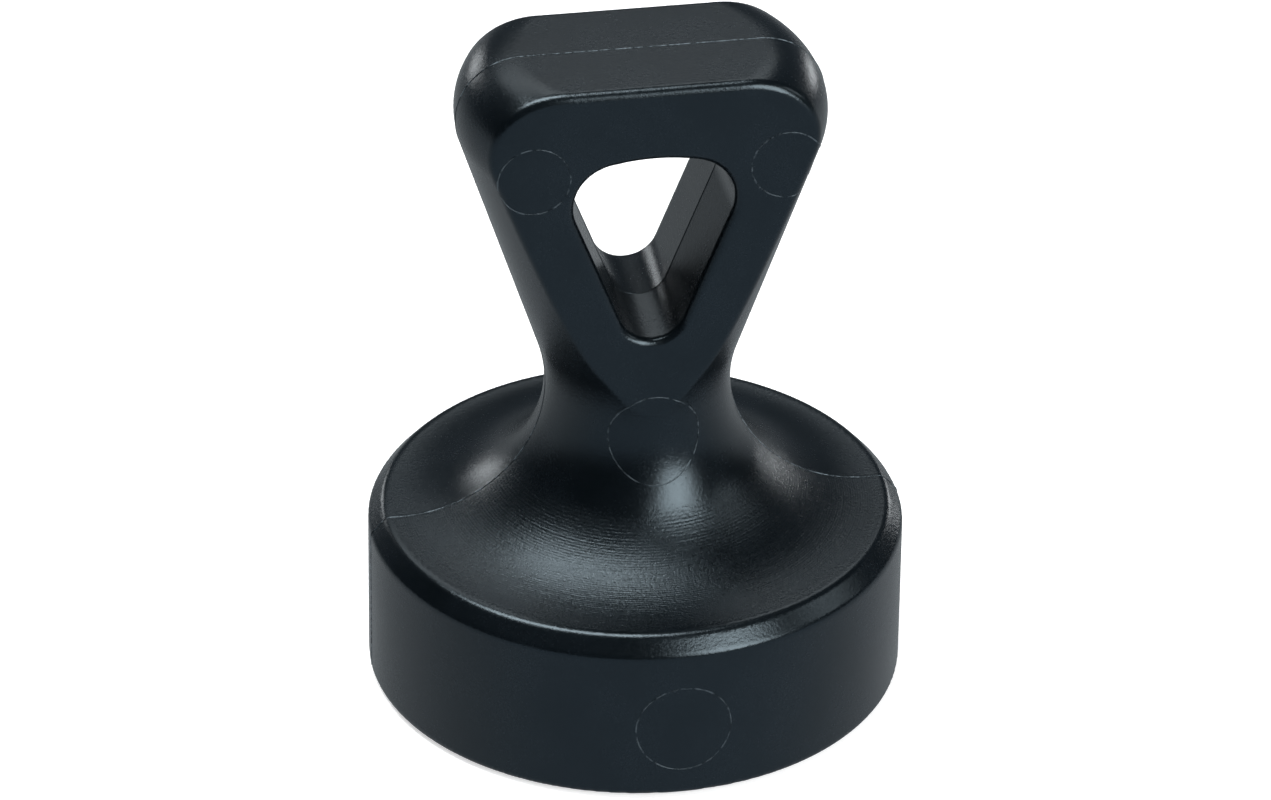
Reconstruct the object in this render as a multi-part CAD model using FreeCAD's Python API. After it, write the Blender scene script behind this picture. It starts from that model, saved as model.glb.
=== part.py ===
import FreeCAD, Part
import math
import os

# A holding magnet with a finger and rope loop: a steel pot with a ring magnet, screwed and
# sealed into a moulded plastic housing whose neck flares up into the loop.
# Millimetres. The origin is the middle of the magnetic face, +Z points up through the loop,
# X runs across the loop's width, and the loop is open along Y.

# Housing, turned shape
BASE_RADIUS = 30.0
SKIRT_GAP = 0.4              # the steel rim stands this much proud of the plastic skirt
WALL_TOP = 18.4              # where the side wall meets the bevel
BEVEL_TOP_RADIUS = 28.2
SWEEP_RADIUS = 16.25         # one concave arc runs from the bevel up through the neck
SWEEP_CENTRE_RADIUS = 26.6
SWEEP_CENTRE_HEIGHT = 36.6
FLARE_ANGLE = 18.35          # degrees from upright, the loop's outer sides
CROWN_HEIGHT = 78.0
CROWN_CORNER_RADIUS = 7.3
FOOT_ROUND = 0.5
WALL_TOP_ROUND = 1.0
BEVEL_ROUND = 1.2

# Housing, flat loop faces
GRIP_HALF_THICKNESS = 9.65
RUNOUT_START = 46.0          # below this the faces curve outwards until they leave the neck
RUNOUT_END = 34.0
RUNOUT_RADIUS = 50.0
OUTLINE_ROUND = 1.1

# Housing, eye: a rounded triangle with its point down, measured in the middle plane
EYE_FLOOR = 46.9
EYE_FLOOR_RADIUS = 3.4
EYE_WALL_ANGLE = 21.4        # degrees from upright
EYE_TOP = 68.85
EYE_TOP_RADIUS = 24.0         # the eye's top is a shallow arch
EYE_CORNER_RADIUS = 4.8
EYE_DRAFT = 2.3              # degrees, the eye widens towards both faces
EYE_ROUND = 0.9

# Magnet system
POT_RADIUS = 26.5
POT_HEIGHT = 15.0
POT_WALL = 3.5
POT_BACK = 5.0
POT_EDGE = 0.6
POT_LIP_EDGE = 0.2
POCKET_CLEARANCE = 0.1
FACE_RECESS = 0.4            # magnet, bush and resin lie this far inside the steel rim
MAGNET_OUTER_RADIUS = 21.0
MAGNET_INNER_RADIUS = 8.4
MAGNET_EDGE = 0.5
BUSH_RADIUS = 7.4
BUSH_EDGE = 0.3

# Screw, ISO 10642 style M6
SCREW_RADIUS = 3.0
SCREW_CLEARANCE = 0.3        # round the shank in the pot, the bush and past the insert
SCREW_HEAD_RADIUS = 5.8
SCREW_HEAD_LIP = 0.4
SCREW_HEAD_TOP = 0.7         # the head sits inside the magnetic face
SCREW_HEAD_EDGE = 0.15
SCREW_LENGTH = 28.0
SCREW_TIP = 0.8
SOCKET_FLATS = 4.0
SOCKET_DEPTH = 2.3
COUNTERSINK_GAP = 0.1

# Threaded insert in the neck
INSERT_RADIUS = 4.6
INSERT_SHOULDER_RADIUS = 5.6
INSERT_SHOULDER = 1.6
INSERT_LENGTH = 12.6
INSERT_GROOVE_DEPTH = 0.6
INSERT_GROOVE_WIDTH = 2.2
INSERT_FLUTES = 24
THREAD_GAP = 0.05            # stands for the thread's play between screw and insert
FLUTE_RADIUS = 0.35
TIP_SPACE = 1.5              # empty length past the end of the screw

# Sealing ring, squeezed square in its groove round the screw
SEAL_INNER_RADIUS = 10.0
SEAL_OUTER_RADIUS = 12.2
SEAL_HEIGHT = 1.6
SEAL_ROUND = 0.6

BEYOND = 60.0                # a reach past everything
TOLERANCE = 0.01


def point(x, z):
    """A point in the XZ plane."""
    return FreeCAD.Vector(x, 0.0, z)


def line(start, end):
    return Part.LineSegment(start, end).toShape()


def on_circle(centre, radius, degrees):
    """A point on a circle in the XZ plane; the angle goes from +X towards +Z."""
    angle = math.radians(degrees)
    return centre + point(radius * math.cos(angle), radius * math.sin(angle))


def arc(centre, radius, start, end):
    """An arc in the XZ plane between two angles in degrees."""
    points = [on_circle(centre, radius, degrees) for degrees in (start, (start + end) / 2.0, end)]
    return Part.Arc(*points).toShape()


def revolve(edges):
    """A solid turned about Z from edges that close a half section."""
    face = Part.Face(Part.Wire(edges))
    return face.revolve(FreeCAD.Vector(0, 0, 0), FreeCAD.Vector(0, 0, 1), 360)


def turned(corners):
    """A solid turned about Z from (radius, height) corners."""
    places = [point(radius, height) for radius, height in corners]
    following = places[1:] + places[:1]
    return revolve([line(start, end) for start, end in zip(places, following)])


def disc(radius, low, high):
    return Part.makeCylinder(radius, high - low, FreeCAD.Vector(0, 0, low))


def ring(inner, outer, low, high):
    return turned([(inner, low), (outer, low), (outer, high), (inner, high)])


def circle_edges(shape, radius, height):
    """The shape's circular edges of one radius at one height."""
    found = []
    for edge in shape.Edges:
        curve = edge.Curve
        if not isinstance(curve, Part.Circle):
            continue
        if abs(curve.Radius - radius) < TOLERANCE and abs(curve.Center.z - height) < TOLERANCE:
            found.append(edge)
    return found


def turned_body():
    """Skirt, bevel, concave sweep, flared cone and rounded crown."""
    flare = math.radians(FLARE_ANGLE)
    sweep = point(SWEEP_CENTRE_RADIUS, SWEEP_CENTRE_HEIGHT)
    bevel_across = BEVEL_TOP_RADIUS - SWEEP_CENTRE_RADIUS
    bevel_drop = math.sqrt(SWEEP_RADIUS ** 2 - bevel_across ** 2)
    bevel_top = sweep + point(bevel_across, -bevel_drop)
    sweep_start = math.degrees(math.atan2(-bevel_drop, bevel_across)) + 360.0
    sweep_end = 180.0 - FLARE_ANGLE
    cone_foot = on_circle(sweep, SWEEP_RADIUS, sweep_end)
    corner_height = CROWN_HEIGHT - CROWN_CORNER_RADIUS
    corner_across = (cone_foot.x + (corner_height - cone_foot.z) * math.tan(flare)
                     - CROWN_CORNER_RADIUS / math.cos(flare))
    corner = point(corner_across, corner_height)
    cone_head = on_circle(corner, CROWN_CORNER_RADIUS, -FLARE_ANGLE)
    foot = point(BASE_RADIUS, SKIRT_GAP)
    wall_top = point(BASE_RADIUS, WALL_TOP)
    body = revolve([
        line(point(0, SKIRT_GAP), foot),
        line(foot, wall_top),
        line(wall_top, bevel_top),
        arc(sweep, SWEEP_RADIUS, sweep_start, sweep_end),
        line(cone_foot, cone_head),
        arc(corner, CROWN_CORNER_RADIUS, -FLARE_ANGLE, 90.0),
        line(point(corner_across, CROWN_HEIGHT), point(0, CROWN_HEIGHT)),
        line(point(0, CROWN_HEIGHT), point(0, SKIRT_GAP)),
    ])
    body = body.makeFillet(BEVEL_ROUND, circle_edges(body, BEVEL_TOP_RADIUS, bevel_top.z))
    body = body.makeFillet(WALL_TOP_ROUND, circle_edges(body, BASE_RADIUS, WALL_TOP))
    return body.makeFillet(FOOT_ROUND, circle_edges(body, BASE_RADIUS, SKIRT_GAP))


def face_cutter(side):
    """The space in front of the loop (side -1) or behind it (side 1)."""
    def at(depth, height):
        return FreeCAD.Vector(-BEYOND, side * depth, height)

    def runout(height):
        drop = RUNOUT_START - height
        rise = RUNOUT_RADIUS - math.sqrt(RUNOUT_RADIUS ** 2 - drop ** 2)
        return at(GRIP_HALF_THICKNESS + rise, height)

    top = CROWN_HEIGHT + 1.0
    face_top = at(GRIP_HALF_THICKNESS, top)
    face_foot = at(GRIP_HALF_THICKNESS, RUNOUT_START)
    runout_foot = runout(RUNOUT_END)
    runout_middle = runout((RUNOUT_START + RUNOUT_END) / 2.0)
    outline = Part.Wire([
        line(face_top, face_foot),
        Part.Arc(face_foot, runout_middle, runout_foot).toShape(),
        line(runout_foot, at(BEYOND, RUNOUT_END)),
        line(at(BEYOND, RUNOUT_END), at(BEYOND, top)),
        line(at(BEYOND, top), face_top),
    ])
    return Part.Face(outline).extrude(FreeCAD.Vector(2.0 * BEYOND, 0, 0))


def eye_corner():
    """Centre of the eye's right upper corner, which touches the side wall and the arch."""
    slope = math.radians(EYE_WALL_ANGLE)
    tangent = math.tan(slope)
    foot_height = EYE_FLOOR + EYE_FLOOR_RADIUS
    across_at_foot = (EYE_FLOOR_RADIUS - EYE_CORNER_RADIUS) / math.cos(slope)
    foot_above_arch = foot_height - EYE_TOP + EYE_TOP_RADIUS
    reach = EYE_TOP_RADIUS - EYE_CORNER_RADIUS
    square = 1.0 + tangent ** 2
    half_linear = across_at_foot * tangent + foot_above_arch
    constant = across_at_foot ** 2 + foot_above_arch ** 2 - reach ** 2
    rise = (math.sqrt(half_linear ** 2 - square * constant) - half_linear) / square
    return point(across_at_foot + rise * tangent, foot_height + rise)


def eye_outline(depth):
    """The eye's outline in the plane y = depth, wider by the draft away from the middle."""
    grow = abs(depth) * math.tan(math.radians(EYE_DRAFT))
    slope = math.radians(EYE_WALL_ANGLE)
    foot = point(0, EYE_FLOOR + EYE_FLOOR_RADIUS)
    foot_radius = EYE_FLOOR_RADIUS + grow
    arch = point(0, EYE_TOP - EYE_TOP_RADIUS)
    right = eye_corner()
    left = point(-right.x, right.z)
    corner_radius = EYE_CORNER_RADIUS + grow
    arch_radius = EYE_TOP_RADIUS + grow
    right_side = -EYE_WALL_ANGLE
    left_side = 180.0 + EYE_WALL_ANGLE
    right_top = math.degrees(math.atan2(right.z - arch.z, right.x))
    left_top = 180.0 - right_top
    wire = Part.Wire([
        arc(foot, foot_radius, left_side, 360.0 + right_side),
        line(on_circle(foot, foot_radius, right_side), on_circle(right, corner_radius, right_side)),
        arc(right, corner_radius, right_side, right_top),
        arc(arch, arch_radius, right_top, left_top),
        arc(left, corner_radius, left_top, left_side),
        line(on_circle(left, corner_radius, left_side), on_circle(foot, foot_radius, left_side)),
    ])
    wire.translate(FreeCAD.Vector(0, depth, 0))
    return wire


def eye():
    """The hole through the loop: two drafted halves that meet in the middle plane."""
    past_face = GRIP_HALF_THICKNESS + 3.0
    halves = []
    for side in (-1, 1):
        halves.append(Part.makeLoft([eye_outline(0.0), eye_outline(side * past_face)], True, True))
    return halves


def on_grip_face(edge):
    """Whether an edge lies in one of the loop's two flat faces."""
    box = edge.BoundBox
    return box.YLength < TOLERANCE and abs(abs(box.YMin) - GRIP_HALF_THICKNESS) < TOLERANCE


def borders_eye(edge):
    """Whether an edge of a flat face runs round the eye, and not round the outline."""
    middle = edge.valueAt((edge.FirstParameter + edge.LastParameter) / 2.0)
    below_crown = middle.z < (EYE_TOP + CROWN_HEIGHT) / 2.0
    above_runout = middle.z > RUNOUT_START + TOLERANCE
    side_of_eye = (EYE_CORNER_RADIUS * 2.0
                   + (middle.z - EYE_TOP + EYE_CORNER_RADIUS) * math.tan(math.radians(EYE_WALL_ANGLE)))
    return below_crown and above_runout and abs(middle.x) < side_of_eye + 1.0


def round_grip_faces(body):
    """Rounds the flat faces' edges, first at the eye and then along the outline."""
    eye_edges = [edge for edge in body.Edges if on_grip_face(edge) and borders_eye(edge)]
    body = body.makeFillet(EYE_ROUND, eye_edges)
    outline = [edge for edge in body.Edges if on_grip_face(edge) and not borders_eye(edge)]
    return body.makeFillet(OUTLINE_ROUND, outline)


def insert_outside():
    """A shoulder on the pot's back, then a fluted barrel with a holding groove."""
    low = POT_HEIGHT
    barrel_low = low + INSERT_SHOULDER
    high = low + INSERT_LENGTH
    groove_low = (barrel_low + high - INSERT_GROOVE_WIDTH) / 2.0
    cuts = [ring(INSERT_RADIUS - INSERT_GROOVE_DEPTH, INSERT_RADIUS + 1.0,
                 groove_low, groove_low + INSERT_GROOVE_WIDTH)]
    for number in range(INSERT_FLUTES):
        angle = 2.0 * math.pi * number / INSERT_FLUTES
        foot = FreeCAD.Vector(INSERT_RADIUS * math.cos(angle), INSERT_RADIUS * math.sin(angle),
                              barrel_low)
        cuts.append(Part.makeCylinder(FLUTE_RADIUS, high - barrel_low, foot))
    barrel = disc(INSERT_RADIUS, low, high).cut(cuts)
    return barrel.fuse(disc(INSERT_SHOULDER_RADIUS, low, barrel_low)).removeSplitter()


def sealing_ring():
    """A rubber ring between the pot's back and the housing, round the insert."""
    top = POT_HEIGHT + SEAL_HEIGHT
    seal = ring(SEAL_INNER_RADIUS, SEAL_OUTER_RADIUS, POT_HEIGHT, top)
    upper = circle_edges(seal, SEAL_INNER_RADIUS, top) + circle_edges(seal, SEAL_OUTER_RADIUS, top)
    return seal.makeFillet(SEAL_ROUND, upper)


def handle_housing():
    """The moulding with its pocket, insert seat, seal groove and blind screw hole."""
    body = turned_body().cut([face_cutter(-1), face_cutter(1)]).cut(eye())
    body = round_grip_faces(body)
    pocket = disc(POT_RADIUS + POCKET_CLEARANCE, 0.0, POT_HEIGHT)
    screw_end = SCREW_HEAD_TOP + SCREW_LENGTH + TIP_SPACE
    screw_space = disc(SCREW_RADIUS + SCREW_CLEARANCE, POT_HEIGHT, screw_end)
    return body.cut([pocket, insert_outside(), screw_space, sealing_ring()])


def threaded_insert():
    bore = disc(SCREW_RADIUS + THREAD_GAP, POT_HEIGHT, POT_HEIGHT + INSERT_LENGTH)
    return insert_outside().cut(bore)


def steel_pot():
    """A shallow cup that carries the flux to its rim, with a screw hole in its back."""
    inner = POT_RADIUS - POT_WALL
    hole = SCREW_RADIUS + SCREW_CLEARANCE
    floor = POT_HEIGHT - POT_BACK
    cup = turned([(inner, 0.0), (POT_RADIUS, 0.0), (POT_RADIUS, POT_HEIGHT),
                  (hole, POT_HEIGHT), (hole, floor), (inner, floor)])
    outer_edges = circle_edges(cup, POT_RADIUS, 0.0) + circle_edges(cup, POT_RADIUS, POT_HEIGHT)
    cup = cup.makeFillet(POT_EDGE, outer_edges)
    return cup.makeFillet(POT_LIP_EDGE, circle_edges(cup, inner, 0.0))


def ring_magnet():
    top = POT_HEIGHT - POT_BACK
    magnet = ring(MAGNET_INNER_RADIUS, MAGNET_OUTER_RADIUS, FACE_RECESS, top)
    face_edges = (circle_edges(magnet, MAGNET_INNER_RADIUS, FACE_RECESS)
                  + circle_edges(magnet, MAGNET_OUTER_RADIUS, FACE_RECESS))
    return magnet.makeFillet(MAGNET_EDGE, face_edges)


def countersunk_bush():
    """The steel collar in the magnet's hole, which takes the screw's head."""
    top = POT_HEIGHT - POT_BACK
    hole = SCREW_RADIUS + SCREW_CLEARANCE
    mouth = SCREW_HEAD_RADIUS + COUNTERSINK_GAP
    sink_low = SCREW_HEAD_TOP + SCREW_HEAD_LIP + COUNTERSINK_GAP
    bush = turned([(mouth, FACE_RECESS), (BUSH_RADIUS, FACE_RECESS), (BUSH_RADIUS, top),
                   (hole, top), (hole, sink_low + mouth - hole), (mouth, sink_low)])
    return bush.makeFillet(BUSH_EDGE, circle_edges(bush, BUSH_RADIUS, FACE_RECESS))


def hexagon(flats, low, high):
    """A hexagonal prism about Z, given its width across flats."""
    corner_radius = flats / math.sqrt(3.0)
    corners = []
    for number in range(6):
        angle = math.radians(60.0 * number)
        corners.append(FreeCAD.Vector(corner_radius * math.cos(angle),
                                      corner_radius * math.sin(angle), low))
    wire = Part.makePolygon(corners + corners[:1])
    return Part.Face(wire).extrude(FreeCAD.Vector(0, 0, high - low))


def countersunk_screw():
    """Socket countersunk screw, head down, from the magnetic face into the insert."""
    low = SCREW_HEAD_TOP
    high = low + SCREW_LENGTH
    lip_high = low + SCREW_HEAD_LIP
    cone_high = lip_high + SCREW_HEAD_RADIUS - SCREW_RADIUS
    screw = turned([(0.0, low), (SCREW_HEAD_RADIUS, low), (SCREW_HEAD_RADIUS, lip_high),
                    (SCREW_RADIUS, cone_high), (SCREW_RADIUS, high - SCREW_TIP),
                    (SCREW_RADIUS - SCREW_TIP, high), (0.0, high)])
    screw = screw.makeFillet(SCREW_HEAD_EDGE, circle_edges(screw, SCREW_HEAD_RADIUS, low))
    return screw.cut(hexagon(SOCKET_FLATS, low, low + SOCKET_DEPTH))


def resin(inner, outer):
    """Potting between two round pieces, level with the magnet."""
    return ring(inner, outer, FACE_RECESS, POT_HEIGHT - POT_BACK)


NODES = {
    "handle_housing": handle_housing(),
    "steel_pot": steel_pot(),
    "ring_magnet": ring_magnet(),
    "countersunk_bush": countersunk_bush(),
    "outer_resin_ring": resin(MAGNET_OUTER_RADIUS, POT_RADIUS - POT_WALL),
    "inner_resin_ring": resin(BUSH_RADIUS, MAGNET_INNER_RADIUS),
    "countersunk_screw": countersunk_screw(),
    "threaded_insert": threaded_insert(),
    "sealing_ring": sealing_ring(),
}

os.makedirs("parts", exist_ok=True)
for name, shape in NODES.items():
    shape.exportStep(f"parts/{name}.step")
    print(name, "valid" if shape.isValid() else "INVALID", len(shape.Solids), "solid",
          round(shape.Volume, 1), "mm3")
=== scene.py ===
import math

import bpy
import numpy as np
from mathutils import Matrix, Vector


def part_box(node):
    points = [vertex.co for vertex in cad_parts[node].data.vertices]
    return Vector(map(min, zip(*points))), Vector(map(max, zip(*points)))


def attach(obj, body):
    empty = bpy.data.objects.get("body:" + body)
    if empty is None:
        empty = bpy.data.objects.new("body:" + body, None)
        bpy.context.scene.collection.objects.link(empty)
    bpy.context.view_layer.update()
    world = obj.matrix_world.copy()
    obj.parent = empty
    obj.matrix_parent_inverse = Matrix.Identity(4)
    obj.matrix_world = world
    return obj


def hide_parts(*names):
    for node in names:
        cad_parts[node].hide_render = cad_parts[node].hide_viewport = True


# A black moulded holding magnet with a loop handle. The moulding is rebuilt here as one fine
# mesh from its own outlines; the magnet system under it keeps the CAD pieces.
# Lengths of the moulding are in millimetres, as in its drawing, and MM turns them into metres.

MM = 0.001

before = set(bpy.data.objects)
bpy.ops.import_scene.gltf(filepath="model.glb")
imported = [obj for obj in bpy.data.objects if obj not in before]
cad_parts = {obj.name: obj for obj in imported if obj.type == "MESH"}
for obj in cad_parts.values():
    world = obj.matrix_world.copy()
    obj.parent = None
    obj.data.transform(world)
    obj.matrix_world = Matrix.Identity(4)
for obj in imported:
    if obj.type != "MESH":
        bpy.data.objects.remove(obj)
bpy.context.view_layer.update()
housing_low, housing_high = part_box("handle_housing")
pot_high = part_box("steel_pot")[1]

# Moulding, turned shape
BASE_RADIUS = housing_high.x / MM
FOOT = housing_low.z / MM
CROWN = housing_high.z / MM
POCKET_CLEARANCE = 0.1
POCKET_RADIUS = pot_high.x / MM + POCKET_CLEARANCE
POCKET_CEILING = pot_high.z / MM
WALL_TOP = 18.4
BEVEL_TOP_RADIUS = 28.2
SWEEP_RADIUS = 16.25
SWEEP_CENTRE = (26.6, 36.6)
FLARE_ANGLE = 18.35
CROWN_CORNER_RADIUS = 7.3
FOOT_ROUND = 0.5
POCKET_MOUTH_ROUND = 0.45
POCKET_CORNER_ROUND = 0.6
WALL_TOP_ROUND = 1.0
BEVEL_ROUND = 1.2

# Moulding, loop
GRIP_HALF_THICKNESS = 9.65
RUNOUT_START = 46.0
RUNOUT_END = 34.0
RUNOUT_RADIUS = 50.0
OUTLINE_ROUND = 1.1
EYE_FLOOR = 46.9
EYE_FLOOR_RADIUS = 3.4
EYE_WALL_ANGLE = 21.4
EYE_TOP = 68.85
EYE_TOP_RADIUS = 24.0
EYE_CORNER_RADIUS = 4.8
EYE_DRAFT = 2.3
EYE_ROUND = 0.9

# Moulding, traces of the two-part mould
MOULD_STEP = 0.035           # the front half stands this much proud of the rear half
MOULD_STEP_BLEND = 0.12      # depth over which that step rises
FLASH_WIDTH = 0.18           # ridge where the two halves of the mould meet
FLASH_HEIGHT = 0.07
PIN_RING_WIDTH = 0.16        # edge of the ejector pins' marks
PIN_RING_HEIGHT = 0.05
PIN_MARKS = (                # across, height, radius, share of the ring that shows
    (-13.3, 67.8, 4.0, 0.7),
    (14.6, 67.5, 4.0, 0.7),
    (0.2, 34.4, 5.1, 0.85),
    (0.25, 8.9, 5.3, 0.6),
)
MESH_PITCH = 0.49
RELAX_ROUNDS = 6

TURNING_FEED = 0.00027       # metres between the turning marks the mould left on the flange

# Studio, in metres and degrees
FLOOR_REACH = 15.0
FLOOR_DROP = 0.00002         # the floor lies this far under the part
FLOOR_GLOW = 0.62
LAMP_AIM = (0.0, 0.0, 0.035)
LAMPS = (                    # name, azimuth, elevation, distance, width, height, power
    ("overhead", -119.0, 76.0, 0.75, 0.32, 0.54, 6.0),
    ("rear_top", -180.0, 43.0, 0.80, 0.70, 0.22, 0.76),
    ("right_front", 31.0, 26.0, 0.70, 0.34, 0.48, 4.4),
    ("right_side", 82.0, 31.0, 0.75, 0.26, 0.26, 0.36),
    ("rear_left", -156.0, 8.0, 0.80, 0.18, 0.18, 0.36),
    ("rear_right", 136.0, 1.0, 0.80, 0.18, 0.12, 0.30),
)
CAMERA_AZIMUTH = -10.49
CAMERA_DISTANCE = 0.8795
CAMERA_ELEVATION = 31.707
CAMERA_ROLL = 0.7415
CAMERA_AIM = (-0.00012, 0.00002, 0.03307)
CAMERA_LENS = 223.77


# ---------------------------------------------------------------- outlines

class Outline:
    """Lines and arcs in a plane, walked with the solid on the left."""

    def __init__(self):
        self.pieces = []

    def line(self, start, end):
        start, end = np.array(start, float), np.array(end, float)
        self.pieces.append(("line", start, end))

    def arc(self, centre, radius, start, end):
        """Angles in degrees; a rising angle bulges out of the solid, a falling one into it."""
        self.pieces.append(("arc", np.array(centre, float), radius,
                            math.radians(start), math.radians(end)))

    def measure(self, across, up):
        """Signed distance (outside positive) and its direction, for arrays of points."""
        best = np.full(across.shape, np.inf, across.dtype)
        signed = np.zeros_like(best)
        normal_across = np.zeros_like(best)
        normal_up = np.zeros_like(best)
        for piece in self.pieces:
            if piece[0] == "line":
                _, start, end = piece
                along = (end - start) / np.linalg.norm(end - start)
                length = np.linalg.norm(end - start)
                reach = np.clip((across - start[0]) * along[0] + (up - start[1]) * along[1],
                                0.0, length)
                to_across = across - (start[0] + reach * along[0])
                to_up = up - (start[1] + reach * along[1])
                out_across, out_up = along[1], -along[0]
            else:
                _, centre, radius, first, last = piece
                low, high = min(first, last), max(first, last)
                middle = (low + high) / 2.0
                angle = np.arctan2(up - centre[1], across - centre[0])
                angle = (angle - middle + math.pi) % (2.0 * math.pi) - math.pi + middle
                angle = np.clip(angle, low, high)
                sign = 1.0 if last > first else -1.0
                cosine, sine = np.cos(angle), np.sin(angle)
                to_across = across - (centre[0] + radius * cosine)
                to_up = up - (centre[1] + radius * sine)
                out_across, out_up = sign * cosine, sign * sine
            distance = np.hypot(to_across, to_up)
            facing = to_across * out_across + to_up * out_up
            nearer = distance < best
            side = np.where(facing >= 0.0, 1.0, -1.0)
            safe = np.maximum(distance, 1e-9)
            close = distance < 1e-6
            best = np.where(nearer, distance, best)
            signed = np.where(nearer, distance * side, signed)
            normal_across = np.where(nearer, np.where(close, out_across, to_across * side / safe),
                                     normal_across)
            normal_up = np.where(nearer, np.where(close, out_up, to_up * side / safe), normal_up)
        return signed, normal_across, normal_up


def on_circle(centre, radius, degrees):
    angle = math.radians(degrees)
    return np.array([centre[0] + radius * math.cos(angle), centre[1] + radius * math.sin(angle)])


def direction_degrees(vector):
    return math.degrees(math.atan2(vector[1], vector[0]))


def round_corner(before, corner, after, radius):
    """A corner's round: the start, centre, first and last angle in degrees, and the end."""
    before, corner, after = (np.array(place, float) for place in (before, corner, after))
    incoming = (corner - before) / np.linalg.norm(corner - before)
    outgoing = (after - corner) / np.linalg.norm(after - corner)
    turn = math.acos(float(np.clip(incoming @ outgoing, -1.0, 1.0)))
    setback = radius * math.tan(turn / 2.0)
    left = float(incoming[0] * outgoing[1] - incoming[1] * outgoing[0]) > 0.0
    side = 1.0 if left else -1.0
    start = corner - incoming * setback
    centre = start + side * radius * np.array([-incoming[1], incoming[0]])
    first = direction_degrees(start - centre)
    last = first + side * math.degrees(turn)
    return start, centre, first, last, corner + outgoing * setback


def turned_outline():
    """Half section of the moulding: foot, wall, bevel, sweep, cone, crown, and the pocket."""
    outline = Outline()
    sweep_across, sweep_up = SWEEP_CENTRE
    bevel_across = BEVEL_TOP_RADIUS - sweep_across
    bevel_top = (BEVEL_TOP_RADIUS, sweep_up - math.sqrt(SWEEP_RADIUS ** 2 - bevel_across ** 2))
    wall_top = (BASE_RADIUS, WALL_TOP)
    foot_out = (BASE_RADIUS, FOOT)
    foot_in = (POCKET_RADIUS, FOOT)
    pocket_corner = (POCKET_RADIUS, POCKET_CEILING)
    pocket_middle = (0.0, POCKET_CEILING)

    corner = round_corner(pocket_middle, pocket_corner, foot_in, POCKET_CORNER_ROUND)
    outline.line(pocket_middle, corner[0])
    outline.arc(corner[1], POCKET_CORNER_ROUND, corner[2], corner[3])
    last = corner[4]
    for before, place, after, radius in (
            (pocket_corner, foot_in, foot_out, POCKET_MOUTH_ROUND),
            (foot_in, foot_out, wall_top, FOOT_ROUND),
            (foot_out, wall_top, bevel_top, WALL_TOP_ROUND)):
        corner = round_corner(before, place, after, radius)
        outline.line(last, corner[0])
        outline.arc(corner[1], radius, corner[2], corner[3])
        last = corner[4]

    # the bevel's upper round touches the bevel line and the sweep from inside the solid
    bevel = np.array(bevel_top) - np.array(wall_top)
    bevel /= np.linalg.norm(bevel)
    inward = np.array([-bevel[1], bevel[0]])
    base = np.array(wall_top) + inward * BEVEL_ROUND
    offset = base - np.array(SWEEP_CENTRE)
    half = float(offset @ bevel)
    inside = half ** 2 - (float(offset @ offset) - (SWEEP_RADIUS + BEVEL_ROUND) ** 2)
    centre = base + bevel * (-half - math.sqrt(inside))
    if centre[1] < WALL_TOP - BEVEL_ROUND:
        centre = base + bevel * (-half + math.sqrt(inside))
    first = direction_degrees(-inward)
    to_sweep = np.array(SWEEP_CENTRE) - centre
    last_angle = direction_degrees(to_sweep)
    outline.line(last, centre - inward * BEVEL_ROUND)
    outline.arc(centre, BEVEL_ROUND, first, last_angle)

    outline.arc(SWEEP_CENTRE, SWEEP_RADIUS, direction_degrees(-to_sweep) + 360.0,
                180.0 - FLARE_ANGLE)
    cone_foot = on_circle(SWEEP_CENTRE, SWEEP_RADIUS, 180.0 - FLARE_ANGLE)
    flare = math.radians(FLARE_ANGLE)
    crown_corner_up = CROWN - CROWN_CORNER_RADIUS
    crown_corner = (cone_foot[0] + (crown_corner_up - cone_foot[1]) * math.tan(flare)
                    - CROWN_CORNER_RADIUS / math.cos(flare), crown_corner_up)
    outline.line(cone_foot, on_circle(crown_corner, CROWN_CORNER_RADIUS, -FLARE_ANGLE))
    outline.arc(crown_corner, CROWN_CORNER_RADIUS, -FLARE_ANGLE, 90.0)
    outline.line((crown_corner[0], CROWN), (0.0, CROWN))
    return outline


def face_outline():
    """Depth of the loop's flat faces against height, with their run-out above the neck."""
    outline = Outline()
    centre = (GRIP_HALF_THICKNESS + RUNOUT_RADIUS, RUNOUT_START)
    sweep = math.degrees(math.asin((RUNOUT_START - RUNOUT_END) / RUNOUT_RADIUS))
    runout_foot = on_circle(centre, RUNOUT_RADIUS, 180.0 + sweep)
    outline.line((2.0 * BASE_RADIUS, RUNOUT_END), runout_foot)
    outline.arc(centre, RUNOUT_RADIUS, 180.0 + sweep, 180.0)
    outline.line((GRIP_HALF_THICKNESS, RUNOUT_START), (GRIP_HALF_THICKNESS, CROWN + BASE_RADIUS))
    return outline


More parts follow.
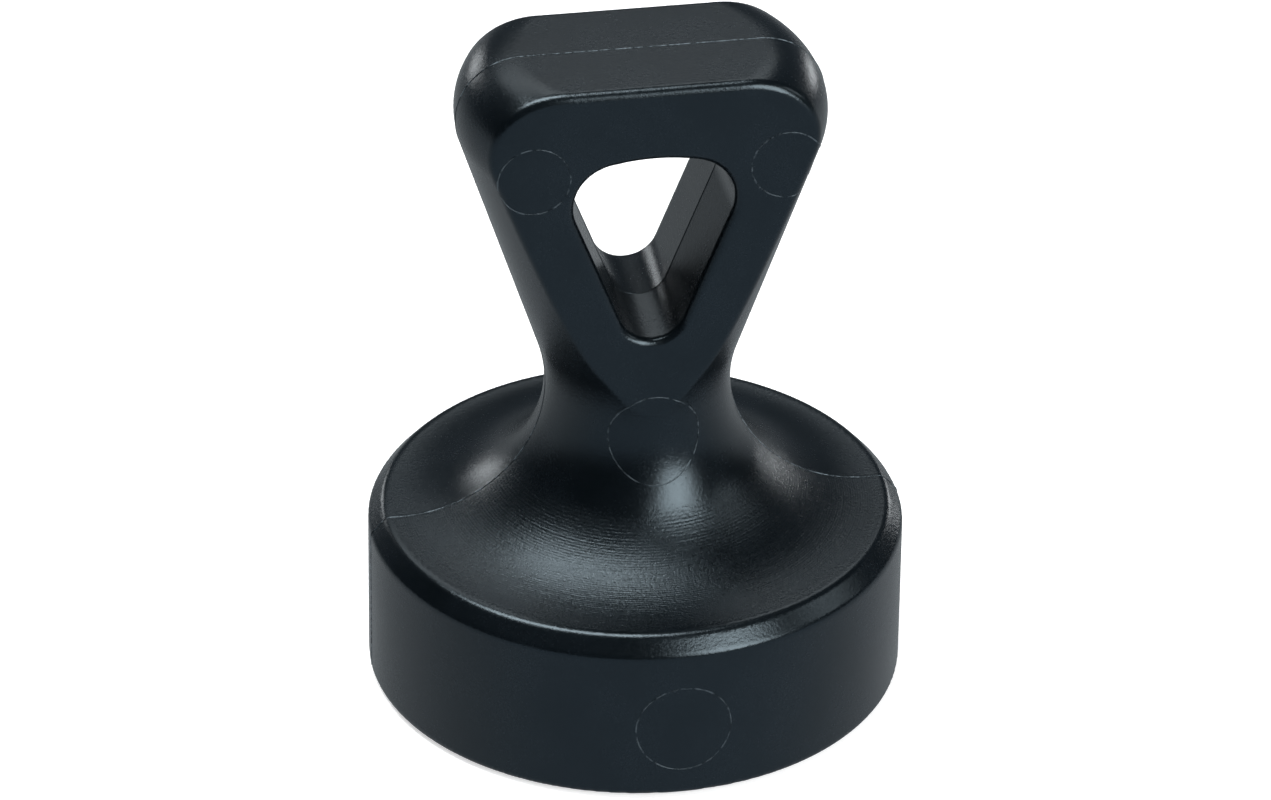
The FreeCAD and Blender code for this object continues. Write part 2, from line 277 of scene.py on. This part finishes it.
def eye_outline():
    """The eye in the middle plane, walked so that the eye itself is on the left."""
    outline = Outline()
    slope = math.radians(EYE_WALL_ANGLE)
    tangent = math.tan(slope)
    foot = (0.0, EYE_FLOOR + EYE_FLOOR_RADIUS)
    arch = (0.0, EYE_TOP - EYE_TOP_RADIUS)

    # the corner circle touches the side wall and, from inside, the arch over the eye
    at_foot = (EYE_FLOOR_RADIUS - EYE_CORNER_RADIUS) / math.cos(slope)
    above_arch = foot[1] - arch[1]
    square = 1.0 + tangent ** 2
    half_linear = at_foot * tangent + above_arch
    constant = at_foot ** 2 + above_arch ** 2 - (EYE_TOP_RADIUS - EYE_CORNER_RADIUS) ** 2
    rise = (math.sqrt(half_linear ** 2 - square * constant) - half_linear) / square
    right = (at_foot + rise * tangent, foot[1] + rise)
    left = (-right[0], right[1])
    right_top = direction_degrees((right[0], right[1] - arch[1]))
    right_side, left_side = -EYE_WALL_ANGLE, 180.0 + EYE_WALL_ANGLE
    outline.arc(foot, EYE_FLOOR_RADIUS, left_side, 360.0 + right_side)
    outline.line(on_circle(foot, EYE_FLOOR_RADIUS, right_side),
                 on_circle(right, EYE_CORNER_RADIUS, right_side))
    outline.arc(right, EYE_CORNER_RADIUS, right_side, right_top)
    outline.arc(arch, EYE_TOP_RADIUS, right_top, 180.0 - right_top)
    outline.arc(left, EYE_CORNER_RADIUS, 180.0 - right_top, left_side)
    outline.line(on_circle(left, EYE_CORNER_RADIUS, left_side),
                 on_circle(foot, EYE_FLOOR_RADIUS, left_side))
    return outline


TURNED, FACES, EYE = turned_outline(), face_outline(), eye_outline()


# ---------------------------------------------------------------- the moulding as a field

def meet(first, first_normal, second, second_normal, radius):
    """The common part of two solids with its edge rounded, as distances and normals."""
    slant = np.clip((first_normal * second_normal).sum(-1), -0.999, 0.999)
    u, v = first + radius, second + radius
    spread = 1.0 - slant ** 2
    along_first = (u - slant * v) / spread
    along_second = (v - slant * u) / spread
    on_round = (along_first > 0.0) & (along_second > 0.0)
    length = np.sqrt(np.maximum((u ** 2 + v ** 2 - 2.0 * slant * u * v) / spread, 1e-12))
    on_first = first >= second
    distance = np.where(on_round, length - radius, np.where(on_first, first, second))
    round_normal = (first_normal * along_first[..., None]
                    + second_normal * along_second[..., None]) / length[..., None]
    flat_normal = np.where(on_first[..., None], first_normal, second_normal)
    return distance, np.where(on_round[..., None], round_normal, flat_normal)


def moulding(points):
    """Signed distance to the moulding's surface and its normal, at points in millimetres."""
    x, y, z = points[..., 0], points[..., 1], points[..., 2]
    radius = np.maximum(np.hypot(x, y), 1e-9)
    turned, turned_across, turned_up = TURNED.measure(radius, z)
    turned_normal = np.stack([turned_across * x / radius, turned_across * y / radius, turned_up], -1)

    faces, faces_depth, faces_up = FACES.measure(np.abs(y), z)
    side = np.where(y >= 0.0, 1.0, -1.0)
    faces_normal = np.stack([np.zeros_like(x), faces_depth * side, faces_up], -1)

    draft = math.radians(EYE_DRAFT)
    eye, eye_across, eye_up = EYE.measure(x, z)
    eye_distance = -(eye - np.abs(y) * math.tan(draft)) * math.cos(draft)
    eye_normal = np.stack([-eye_across * math.cos(draft), side * math.sin(draft),
                           -eye_up * math.cos(draft)], -1)

    body, body_normal = meet(turned, turned_normal, faces, faces_normal, OUTLINE_ROUND)
    body, body_normal = meet(body, body_normal, eye_distance, eye_normal, EYE_ROUND)
    step = np.tanh(y / MOULD_STEP_BLEND) * MOULD_STEP / 2.0
    return body + step, body_normal


def surface_net(pitch):
    """Vertices and quads of the moulding's surface on a grid of that pitch."""
    margin = 2.0 * pitch
    half = math.ceil((BASE_RADIUS + margin) / pitch) * pitch
    flat = np.arange(-half, half + pitch / 2.0, pitch)
    tall = np.arange(FOOT - margin, CROWN + margin + pitch, pitch)
    values = np.empty((len(flat), len(flat), len(tall)), np.float32)
    across, up = np.meshgrid(flat, tall, indexing="ij")
    for index, y in enumerate(flat):
        layer = np.stack([across, np.full_like(across, y), up], -1)
        values[:, index, :] = moulding(layer)[0]
    inside = values < 0.0

    total = np.zeros(tuple(n - 1 for n in values.shape) + (3,), np.float32)
    count = np.zeros(total.shape[:3], np.float32)
    cells = total.shape[:3]
    quads = []
    numbers = np.arange(np.prod(cells)).reshape(cells)
    for axis in range(3):
        lower = [slice(None)] * 3
        upper = [slice(None)] * 3
        lower[axis], upper[axis] = slice(0, -1), slice(1, None)
        a, b = values[tuple(lower)], values[tuple(upper)]
        crossing = inside[tuple(lower)] != inside[tuple(upper)]
        i, j, k = np.nonzero(crossing)
        a, b = a[i, j, k], b[i, j, k]
        place = np.stack([i, j, k], -1).astype(np.float32)
        place[:, axis] += a / (a - b)
        others = [n for n in range(3) if n != axis]
        index = np.stack([i, j, k], -1)
        inner = np.ones(len(index), bool)
        for other in others:
            inner &= (index[:, other] >= 1) & (index[:, other] <= cells[other] - 1)
        index, place, rising = index[inner], place[inner], (a < b)[inner]
        corners = []
        for back_first, back_second in ((1, 1), (0, 1), (0, 0), (1, 0)):
            cell = index.copy()
            cell[:, others[0]] -= back_first
            cell[:, others[1]] -= back_second
            np.add.at(total, tuple(cell.T), place)
            np.add.at(count, tuple(cell.T), 1.0)
            corners.append(numbers[tuple(cell.T)])
        quad = np.stack(corners, -1)
        flip = rising if axis != 1 else ~rising
        quad[~flip] = quad[~flip][:, ::-1]
        quads.append(quad)
    quads = np.concatenate(quads)
    used = np.unique(quads)
    renumber = np.full(numbers.size, -1)
    renumber[used] = np.arange(len(used))
    vertices = (total.reshape(-1, 3)[used] / count.reshape(-1)[used][:, None]).astype(float)
    vertices = vertices * pitch + np.array([flat[0], flat[0], tall[0]])
    return vertices, renumber[quads]


def settle(vertices, rounds=4):
    """Moves points onto the moulding's surface."""
    for _ in range(rounds):
        distance, normal = moulding(vertices)
        vertices = vertices - normal * distance[:, None]
    return vertices


def relax(vertices, quads, rounds):
    """Evens out the net along the surface."""
    edges = np.concatenate([quads[:, [0, 1]], quads[:, [1, 2]], quads[:, [2, 3]], quads[:, [3, 0]]])
    edges = np.unique(np.sort(edges, 1), axis=0)
    degree = np.bincount(edges.ravel(), minlength=len(vertices)).astype(float)
    for _ in range(rounds):
        mean = np.empty_like(vertices)
        for axis in range(3):
            total = np.bincount(edges[:, 0], vertices[edges[:, 1], axis], len(vertices))
            total += np.bincount(edges[:, 1], vertices[edges[:, 0], axis], len(vertices))
            mean[:, axis] = total / degree
        normal = moulding(vertices)[1]
        move = (mean - vertices) * 0.5
        move -= normal * (move * normal).sum(-1)[:, None]
        vertices = settle(vertices + move, 1)
    return settle(vertices, 2)


def ridge(path, normals, closed, width, height):
    """A low closed bead along points on the surface, sunk a little into it."""
    ahead, behind = np.roll(path, -1, 0), np.roll(path, 1, 0)
    if not closed:
        ahead[-1], behind[0] = path[-1], path[0]
    along = ahead - behind
    along /= np.linalg.norm(along, axis=1)[:, None]
    aside = np.cross(along, normals)
    section = ((-0.5, -2.0), (0.5, -2.0), (0.5, -0.3), (0.28, 0.75), (0.0, 1.0), (-0.28, 0.75),
               (-0.5, -0.3))
    rows, facing = [], []
    for across, up in section:
        rows.append(path + aside * across * width + normals * up * height)
        out = aside * across + normals * (up * 0.5 + 0.1)
        facing.append(out / np.linalg.norm(out, axis=1)[:, None])
    count, sides = len(path), len(section)
    vertices = np.stack(rows, 1).reshape(-1, 3)
    facing = np.stack(facing, 1).reshape(-1, 3)
    faces = []
    for step in range(count if closed else count - 1):
        here, there = step * sides, (step + 1) % count * sides
        for side in range(sides):
            following = (side + 1) % sides
            faces.append((here + side, there + side, there + following, here + following))
    if not closed:
        faces.append(tuple(range(sides)))
        faces.append(tuple((count - 1) * sides + side for side in range(sides))[::-1])
    return vertices, faces, facing


def outline_points(outline, pitch):
    """Points along an outline, in order."""
    points = []
    for piece in outline.pieces:
        if piece[0] == "line":
            _, start, end = piece
            count = max(2, int(np.linalg.norm(end - start) / pitch))
            points += [start + (end - start) * step / count for step in range(count)]
        else:
            _, centre, radius, first, last = piece
            count = max(3, int(radius * abs(last - first) / pitch))
            points += [centre + radius * np.array([math.cos(first + (last - first) * step / count),
                                                   math.sin(first + (last - first) * step / count)])
                       for step in range(count)]
    return np.array(points)


def parting_paths():
    """Where the two halves of the mould meet: over the whole outside, and round the eye."""
    half = outline_points(TURNED, 0.35)
    half = half[(half[:, 0] > 0.05) & (half[:, 1] > FOOT + 0.4)]
    half = half[(half[:, 0] > POCKET_RADIUS + 1.0) | (half[:, 1] > POCKET_CEILING + 2.0)]
    over = np.concatenate([half, (half * np.array([-1.0, 1.0]))[::-1]])
    round_eye = outline_points(EYE, 0.3)
    paths = []
    for flat, closed in ((over, False), (round_eye, True)):
        path = settle(np.stack([flat[:, 0], np.zeros(len(flat)), flat[:, 1]], -1))
        paths.append((path, moulding(path)[1], closed))
    return paths


def pin_mark_paths(across, height, radius, share):
    """The broken ring an ejector pin leaves on the front of the moulding."""
    count = int(2.0 * math.pi * radius / 0.2)
    turn = np.arange(count) * 2.0 * math.pi / count
    path = np.stack([across + radius * np.cos(turn), np.full(count, -BASE_RADIUS - 2.0),
                     height + radius * np.sin(turn)], -1)
    for _ in range(60):
        path[:, 1] += np.maximum(moulding(path)[0], 0.0) * 0.9
    path = settle(path)
    normals = moulding(path)[1]
    wave = (np.sin(turn * 3.0 + across) + np.sin(turn * 7.0 + height) * 0.7
            + np.sin(turn * 19.0 + radius) * 0.5)
    shown = wave >= np.quantile(wave, 1.0 - share)
    paths = []
    start = None
    for index in range(count + 1):
        on = index < count and shown[index]
        if on and start is None:
            start = index
        if not on and start is not None:
            if index - start > 2:
                paths.append((path[start:index], normals[start:index], False))
            start = None
    return paths


def merge(shapes):
    """One mesh out of several closed ones."""
    vertices, faces, normals = [], [], []
    total = 0
    for points, polygons, facing in shapes:
        vertices.append(points)
        normals.append(facing)
        faces += [tuple(int(corner) + total for corner in polygon) for polygon in polygons]
        total += len(points)
    return np.concatenate(vertices), faces, np.concatenate(normals)


def mesh_object(name, vertices, faces, material):
    """A smooth-shaded mesh object from millimetre vertices."""
    mesh = bpy.data.meshes.new(name)
    mesh.from_pydata((np.asarray(vertices) * MM).tolist(), [], faces)
    mesh.validate()
    mesh.polygons.foreach_set("use_smooth", [True] * len(mesh.polygons))
    mesh.materials.append(material)
    obj = bpy.data.objects.new(name, mesh)
    bpy.context.scene.collection.objects.link(obj)
    return obj


# ---------------------------------------------------------------- node materials

class Shader:
    """The nodes of a material or world; most methods add a node and return its output."""

    def __init__(self, owner, coordinates="Object"):
        owner.use_nodes = True
        self.owner = owner
        self.tree = owner.node_tree
        self.surface = self.tree.nodes.get("Principled BSDF")
        self.where = self.tree.nodes.new("ShaderNodeTexCoord").outputs[coordinates]

    def plug(self, socket, value):
        if isinstance(value, bpy.types.NodeSocket):
            self.tree.links.new(value, socket)
        elif isinstance(value, tuple) and len(value) == 3 and socket.type == "RGBA":
            socket.default_value = (*value, 1.0)
        else:
            socket.default_value = value

    def set(self, **inputs):
        """Fills sockets of the surface; base_color stands for Base Color."""
        for name, value in inputs.items():
            socket = "IOR" if name == "ior" else name.replace("_", " ").title()
            self.plug(self.surface.inputs[socket], value)

    def math(self, operation, a, b=0.0):
        node = self.tree.nodes.new("ShaderNodeMath")
        node.operation = operation
        for index, value in enumerate((a, b)):
            self.plug(node.inputs[index], value)
        return node.outputs[0]

    def length(self, a, b):
        """The length of a vector from its two parts."""
        squares = self.math("ADD", self.math("MULTIPLY", a, a), self.math("MULTIPLY", b, b))
        return self.math("SQRT", squares)

    def noise(self, scale, detail=3.0, roughness=0.55, where=None):
        node = self.tree.nodes.new("ShaderNodeTexNoise")
        self.plug(node.inputs["Vector"], where or self.where)
        self.plug(node.inputs["Scale"], scale)
        self.plug(node.inputs["Detail"], detail)
        self.plug(node.inputs["Roughness"], roughness)
        return node.outputs["Fac"]

    def cells(self, scale):
        """The distance to the nearest of many scattered points."""
        node = self.tree.nodes.new("ShaderNodeTexVoronoi")
        self.plug(node.inputs["Vector"], self.where)
        self.plug(node.inputs["Scale"], scale)
        return node.outputs["Distance"]

    def stretch(self, scale):
        """The place, multiplied by a factor for each axis."""
        node = self.tree.nodes.new("ShaderNodeVectorMath")
        node.operation = "MULTIPLY"
        self.plug(node.inputs[0], self.where)
        self.plug(node.inputs[1], scale)
        return node.outputs[0]

    def parts(self):
        """The x, y and z of the place."""
        node = self.tree.nodes.new("ShaderNodeSeparateXYZ")
        self.plug(node.inputs[0], self.where)
        return node.outputs

    def join(self, x, y, z):
        node = self.tree.nodes.new("ShaderNodeCombineXYZ")
        for index, value in enumerate((x, y, z)):
            self.plug(node.inputs[index], value)
        return node.outputs[0]

    def map(self, value, low, high, to_low=0.0, to_high=1.0, smooth=False):
        node = self.tree.nodes.new("ShaderNodeMapRange")
        node.interpolation_type = "SMOOTHSTEP" if smooth else "LINEAR"
        for index, entry in enumerate((value, low, high, to_low, to_high)):
            self.plug(node.inputs[index], entry)
        return node.outputs[0]

    def mix(self, factor, first, second):
        node = self.tree.nodes.new("ShaderNodeMix")
        node.data_type = "RGBA"
        self.plug(node.inputs[0], factor)
        self.plug(node.inputs[6], first)
        self.plug(node.inputs[7], second)
        return node.outputs[2]

    def bump(self, height, strength, distance, below=None):
        node = self.tree.nodes.new("ShaderNodeBump")
        self.plug(node.inputs["Height"], height)
        self.plug(node.inputs["Strength"], strength)
        self.plug(node.inputs["Distance"], distance)
        if below is not None:
            self.plug(node.inputs["Normal"], below)
        return node.outputs[0]


def linear(red, green, blue):
    """Linear light from an sRGB colour of 0 to 255."""
    def one(value):
        value /= 255.0
        return value / 12.92 if value <= 0.04045 else ((value + 0.055) / 1.055) ** 2.4
    return tuple(one(value) for value in (red, green, blue))


def black_plastic():
    """Satin black moulding compound: fine spark-eroded grain, turning marks of the mould."""
    s = Shader(bpy.data.materials.new("black_plastic"))
    x, y, z = s.parts()
    radius = s.length(x, y)

    grain = s.noise(3000.0, 3.0, 0.65)
    cloud = s.noise(140.0, 3.0, 0.5)
    specks = s.map(s.cells(1500.0), 0.0, 0.16, 1.0, 0.0)

    # turning marks show on the flange's front half, where the mould was left as turned
    lathe = s.math("ARCTAN2", x, y)
    streaks = s.noise(1.0, 3.0, 0.7, s.join(s.math("MULTIPLY", radius, 3600.0),
                                            s.math("MULTIPLY", lathe, 3.0), 0.0))
    rings = s.math("ADD", s.math("MULTIPLY", streaks, 2.2),
                   s.math("MULTIPLY", s.math("SINE", s.math("MULTIPLY", radius,
                                                            2.0 * math.pi / TURNING_FEED)), 0.25))
    on_flange = s.math("MULTIPLY", s.map(radius, 0.0125, 0.0145, smooth=True),
                       s.map(radius, 0.0278, 0.0262, smooth=True))
    on_flange = s.math("MULTIPLY", on_flange, s.map(z, 0.0185, 0.0195))
    on_flange = s.math("MULTIPLY", on_flange, s.map(z, 0.0300, 0.0260))
    front = s.map(y, 0.0005, -0.0005)
    turned = s.math("MULTIPLY", on_flange, front)

    base = s.mix(s.map(cloud, 0.3, 0.7), linear(6, 10, 13), linear(10, 15, 19))
    base = s.mix(s.math("MULTIPLY", specks, 0.25), base, linear(34, 40, 44))

    # painted highlight: the parting line and the ejector pins' rings are painted a little paler,
    # standing in for the light their low ridges catch
    along_line = s.map(s.math("ABSOLUTE", y), FLASH_WIDTH * 0.35 * MM,
                       FLASH_WIDTH * 0.5 * MM, 1.0, 0.0)
    off_eye = s.math("MAXIMUM", s.map(z, 0.0330, 0.0310), s.map(z, 0.0720, 0.0740))
    ridge_highlight = s.math("MULTIPLY", along_line, off_eye)
    for across, height, pin_radius, _ in PIN_MARKS:
        aside = s.math("SUBTRACT", x, across * MM)
        above = s.math("SUBTRACT", z, height * MM)
        off_ring = s.math("ABSOLUTE", s.math("SUBTRACT", s.length(aside, above),
                                             pin_radius * MM))
        ring = s.math("MULTIPLY", s.map(off_ring, 0.00006, 0.00010, 1.0, 0.0), front)
        ridge_highlight = s.math("MAXIMUM", ridge_highlight, s.math("MULTIPLY", ring, 0.30))
    ridge_highlight = s.math("MULTIPLY", ridge_highlight, s.map(s.noise(1100.0, 2.0, 0.6), 0.42, 0.60))
    # the painted highlight on the parting line and the pin rings goes into the base colour here
    base = s.mix(ridge_highlight, base, linear(96, 106, 112))
    s.set(base_color=base)
    rough = s.math("ADD", s.map(cloud, 0.2, 0.8, 0.21, 0.27),
                   s.map(grain, 0.3, 0.7, -0.04, 0.04))
    s.set(roughness=s.math("ADD", rough, s.math("MULTIPLY", turned, 0.05)))
    s.set(ior=1.5)
    s.surface.inputs["Specular Tint"].default_value = (0.72, 0.90, 1.0, 1.0)
    first = s.bump(grain, 0.55, 0.00005)
    marks = s.math("ADD", rings, s.math("MULTIPLY", grain, 1.6))
    second = s.bump(s.math("MULTIPLY", marks, turned), 0.75, 0.00002, first)
    s.set(normal=s.bump(specks, 0.15, 0.00003, second))
    return s.owner


def plated_steel():
    """Turned steel under dull zinc."""
    s = Shader(bpy.data.materials.new("plated_steel"))
    x, y, z = s.parts()
    radius = s.length(x, y)
    rings = s.noise(1.0, 3.0, 0.7, s.join(s.math("MULTIPLY", radius, 5200.0),
                                          0.0, s.math("MULTIPLY", z, 3000.0)))
    cloud = s.noise(160.0, 4.0, 0.6)
    scuffs = s.map(s.noise(1.0, 2.0, 0.6, s.stretch((2600.0, 160.0, 900.0))), 0.62, 0.72)
    base = s.mix(s.map(cloud, 0.3, 0.7), linear(150, 152, 152), linear(184, 184, 180))
    base = s.mix(s.math("MULTIPLY", scuffs, 0.5), base, linear(120, 118, 112))
    s.set(base_color=base, metallic=1.0)
    s.set(roughness=s.math("ADD", s.map(cloud, 0.2, 0.8, 0.27, 0.42),
                           s.map(rings, 0.3, 0.7, -0.04, 0.06)))
    s.set(normal=s.bump(scuffs, 0.3, 0.00002, s.bump(rings, 0.5, 0.00003)))
    return s.owner


def nickel_plate():
    """Bright nickel on the magnet, with rubbing marks and tiny pits."""
    s = Shader(bpy.data.materials.new("nickel_plate"))
    cloud = s.noise(210.0, 4.0, 0.6)
    scratches = s.map(s.noise(1.0, 1.0, 0.6, s.stretch((3600.0, 120.0, 900.0))), 0.63, 0.68)
    pits = s.map(s.cells(900.0), 0.0, 0.08, 1.0, 0.0)
    base = s.mix(s.map(cloud, 0.3, 0.7), linear(196, 190, 178), linear(214, 209, 199))
    base = s.mix(s.math("MULTIPLY", pits, 0.6), base, linear(120, 112, 100))
    s.set(base_color=base, metallic=1.0)
    s.set(roughness=s.math("ADD", s.map(cloud, 0.2, 0.8, 0.14, 0.24),
                           s.math("MULTIPLY", scratches, 0.15)))
    s.set(normal=s.bump(pits, 0.4, 0.00003, s.bump(scratches, 0.25, 0.00001)))
    return s.owner


def potting_resin():
    """Cast black epoxy with a slightly rippled skin and pinholes."""
    s = Shader(bpy.data.materials.new("potting_resin"))
    ripple = s.noise(330.0, 2.0, 0.45)
    pinholes = s.map(s.cells(700.0), 0.0, 0.07, 1.0, 0.0)
    dust = s.noise(5200.0, 2.0, 0.6)
    s.set(base_color=s.mix(s.map(dust, 0.45, 0.8), linear(22, 22, 23), linear(58, 57, 55)))
    s.set(roughness=s.map(ripple, 0.3, 0.7, 0.22, 0.38))
    s.set(normal=s.bump(pinholes, 0.5, -0.00005, s.bump(ripple, 0.5, 0.00012)))
    return s.owner


def screw_steel():
    """Stainless screw, turned and tumbled."""
    s = Shader(bpy.data.materials.new("screw_steel"))
    x, y, z = s.parts()
    radius = s.length(x, y)
    rings = s.noise(1.0, 2.0, 0.6, s.join(s.math("MULTIPLY", radius, 9000.0), 0.0, 0.0))
    tumble = s.noise(1500.0, 4.0, 0.65)
    s.set(base_color=s.mix(s.map(tumble, 0.35, 0.65), linear(158, 158, 156),
                           linear(190, 190, 187)), metallic=1.0)
    s.set(roughness=s.map(tumble, 0.3, 0.7, 0.20, 0.36))
    s.set(normal=s.bump(rings, 0.25, 0.00002, s.bump(tumble, 0.25, 0.00002)))
    return s.owner


def brass():
    """Turned brass, a little tarnished."""
    s = Shader(bpy.data.materials.new("brass"))
    tarnish = s.noise(420.0, 4.0, 0.6)
    fine = s.noise(3600.0, 2.0, 0.6)
    s.set(base_color=s.mix(s.map(tarnish, 0.35, 0.65), linear(196, 160, 84),
                           linear(160, 122, 62)), metallic=1.0)
    s.set(roughness=s.map(tarnish, 0.3, 0.7, 0.22, 0.38))
    s.set(normal=s.bump(fine, 0.2, 0.00002))
    return s.owner


def seal_rubber():
    """Black nitrile with a dusty bloom."""
    s = Shader(bpy.data.materials.new("seal_rubber"))
    bloom = s.noise(600.0, 4.0, 0.6)
    fine = s.noise(5200.0, 2.0, 0.6)
    s.set(base_color=s.mix(s.map(bloom, 0.35, 0.7), linear(24, 24, 25), linear(50, 50, 50)))
    s.set(roughness=s.map(bloom, 0.3, 0.7, 0.55, 0.7))
    s.set(normal=s.bump(fine, 0.3, 0.00003))
    return s.owner


MATERIALS = {
    "black_plastic": black_plastic(),
    "plated_steel": plated_steel(),
    "nickel_plate": nickel_plate(),
    "potting_resin": potting_resin(),
    "screw_steel": screw_steel(),
    "brass": brass(),
    "seal_rubber": seal_rubber(),
}
SLOTS = {
    "steel_pot": "plated_steel",
    "countersunk_bush": "plated_steel",
    "ring_magnet": "nickel_plate",
    "outer_resin_ring": "potting_resin",
    "inner_resin_ring": "potting_resin",
    "countersunk_screw": "screw_steel",
    "threaded_insert": "brass",
    "sealing_ring": "seal_rubber",
}
for node, material_slot in SLOTS.items():
    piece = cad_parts[node]
    for holder in piece.material_slots:
        holder.material = MATERIALS[material_slot]
    if not piece.material_slots:
        piece.data.materials.append(MATERIALS[material_slot])

# ---------------------------------------------------------------- the moulding

net, quads = surface_net(MESH_PITCH)
net = relax(settle(net), quads, RELAX_ROUNDS)
shapes = [(net, quads, moulding(net)[1])]
shapes += [ridge(*path, FLASH_WIDTH, FLASH_HEIGHT) for path in parting_paths()]
for mark in PIN_MARKS:
    shapes += [ridge(*path, PIN_RING_WIDTH, PIN_RING_HEIGHT) for path in pin_mark_paths(*mark)]
vertices, faces, normals = merge(shapes)
housing = mesh_object("moulded_housing", vertices, faces, MATERIALS["black_plastic"])
housing.data.normals_split_custom_set_from_vertices(normals.tolist())
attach(housing, "root")
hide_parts("handle_housing")

# ---------------------------------------------------------------- studio


def studio_floor():
    s = Shader(bpy.data.materials.new("floor_paper"))
    tooth = s.noise(900.0, 3.0, 0.6)
    s.set(base_color=s.mix(s.map(tooth, 0.3, 0.7), linear(226, 227, 228), linear(232, 233, 234)))
    s.set(roughness=0.75, ior=1.3)
    s.surface.inputs["Emission Color"].default_value = (1.0, 1.0, 1.0, 1.0)
    s.surface.inputs["Emission Strength"].default_value = FLOOR_GLOW
    s.set(normal=s.bump(tooth, 0.05, 0.0001))
    mesh = bpy.data.meshes.new("floor")
    mesh.from_pydata([(-FLOOR_REACH, -FLOOR_REACH, 0.0), (FLOOR_REACH, -FLOOR_REACH, 0.0),
                      (FLOOR_REACH, FLOOR_REACH, 0.0), (-FLOOR_REACH, FLOOR_REACH, 0.0)],
                     [], [(0, 1, 2, 3)])
    mesh.materials.append(s.owner)
    floor = bpy.data.objects.new("floor", mesh)
    bpy.context.scene.collection.objects.link(floor)
    floor.location.z = -FLOOR_DROP
    return floor


floor = studio_floor()


def softbox(name, azimuth, elevation, distance, width, height, power):
    """A rectangular lamp; the azimuth is counted from the front, positive to the right."""
    light = bpy.data.lights.new(name, "AREA")
    light.shape = "RECTANGLE"
    light.size, light.size_y = width, height
    light.energy = power
    lamp = bpy.data.objects.new(name, light)
    bpy.context.scene.collection.objects.link(lamp)
    across, up = math.radians(azimuth), math.radians(elevation)
    toward = Vector((math.sin(across) * math.cos(up), -math.cos(across) * math.cos(up),
                     math.sin(up)))
    lamp.location = Vector(LAMP_AIM) + toward * distance
    lamp.rotation_euler = toward.to_track_quat("Z", "Y").to_euler()


for lamp_row in LAMPS:
    softbox(*lamp_row)


def surroundings():
    """Dark room in front, pale wall behind, and a bluish glow from the table's side."""
    world = bpy.data.worlds.new("studio")
    bpy.context.scene.world = world
    s = Shader(world, "Generated")
    x, y, z = s.parts()
    behind = s.map(y, 0.35, 0.75, smooth=True)
    below = s.map(z, 0.02, -0.12, smooth=True)
    table = s.mix(s.map(y, -0.75, 0.1, smooth=True), (0.36, 0.42, 0.49), (0.43, 0.46, 0.49))
    room = s.mix(below, (0.010, 0.012, 0.015), table)
    wall = s.mix(s.map(z, 0.10, -0.40, smooth=True), (0.07, 0.085, 0.10), (0.36, 0.39, 0.41))
    s.plug(s.tree.nodes["Background"].inputs["Color"], s.mix(behind, room, wall))


surroundings()
floor.visible_glossy = False
bpy.context.scene.view_settings.view_transform = "Standard"

camera_data = bpy.data.cameras.new("camera")
camera = bpy.data.objects.new("camera", camera_data)
bpy.context.scene.collection.objects.link(camera)
camera_data.sensor_width = 36.0
camera_data.lens = CAMERA_LENS
camera_data.clip_start = 0.05
camera_data.clip_end = 60.0
turn, lift = math.radians(CAMERA_AZIMUTH), math.radians(CAMERA_ELEVATION)
toward = Vector((math.sin(turn) * math.cos(lift), -math.cos(turn) * math.cos(lift),
                 math.sin(lift)))
aim = Vector(CAMERA_AIM)
camera.matrix_world = (Matrix.Translation(aim + toward * CAMERA_DISTANCE)
                       @ toward.to_track_quat("Z", "Y").to_matrix().to_4x4()
                       @ Matrix.Rotation(math.radians(CAMERA_ROLL), 4, "Z"))
bpy.context.scene.camera = camera
